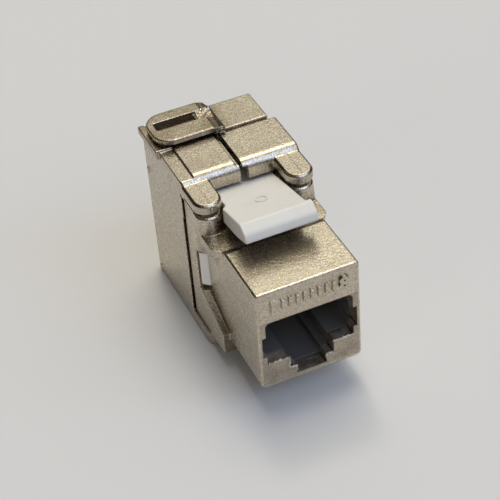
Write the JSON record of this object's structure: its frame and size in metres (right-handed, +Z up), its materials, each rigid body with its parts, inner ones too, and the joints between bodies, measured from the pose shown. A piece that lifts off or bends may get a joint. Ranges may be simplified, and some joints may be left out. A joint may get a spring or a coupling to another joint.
{
  "type": "keystone jack",
  "caption": "Shielded die-cast keystone jack with a modular plug port, hinged rear wings that close over the wiring, and a sprung snap-in latch.",
  "frame": {"origin": "centre of the plug port in the plane of the front face", "axes": "+X to the right seen from the front, +Y from the front face to the rear where the cable enters, +Z up, the latch on top"},
  "size_m": [0.0177, 0.0344, 0.0265],
  "materials": {
    "nickel_plated_casting": "satin nickel plate over a fine as-cast grain",
    "white_plastic": "moulded, semi-matt",
    "black_plastic": "moulded, matt",
    "board_laminate": "solder mask",
    "gold_plate": "polished gold plate",
    "tin_plate": "bright tin plate",
    "spring_steel": "plated"
  },
  "bodies": {
    "housing": {"front_housing": "nickel_plated_casting", "port_insert": "black_plastic", "circuit_board": "board_laminate", "idc_block": "white_plastic", "wire_manager": "white_plastic", "port_contact_1": "gold_plate", "port_contact_2": "gold_plate", "port_contact_3": "gold_plate", "port_contact_4": "gold_plate", "port_contact_5": "gold_plate", "port_contact_6": "gold_plate", "port_contact_7": "gold_plate", "port_contact_8": "gold_plate", "idc_contact_1": "tin_plate", "idc_contact_2": "tin_plate", "idc_contact_3": "tin_plate", "idc_contact_4": "tin_plate", "idc_contact_5": "tin_plate", "idc_contact_6": "tin_plate", "idc_contact_7": "tin_plate", "idc_contact_8": "tin_plate", "shield_spring_left": "spring_steel", "shield_spring_right": "spring_steel"},
    "left_wing": {"left_wing": "nickel_plated_casting"},
    "right_wing": {"right_wing": "nickel_plated_casting"},
    "latch": {"latch_lever": "white_plastic"}
  },
  "joints": [
    {"name": "left_wing_hinge", "type": "hinge", "parent": "housing", "child": "left_wing", "pos_m": [-0.0066, 0.01615, 0.00109], "axis": [0, 0, 1], "range_deg": [0, 100]},
    {"name": "right_wing_hinge", "type": "hinge", "parent": "housing", "child": "right_wing", "pos_m": [0.0066, 0.01615, 0.00109], "axis": [0, 0, -1], "range_deg": [0, 100]},
    {"name": "latch_press", "type": "hinge", "parent": "housing", "child": "latch", "pos_m": [0, 0.01955, 0.0095], "axis": [1, 0, 0], "range_deg": [0, 9], "stiffness_Nm_per_rad": 0.15}
  ]
}
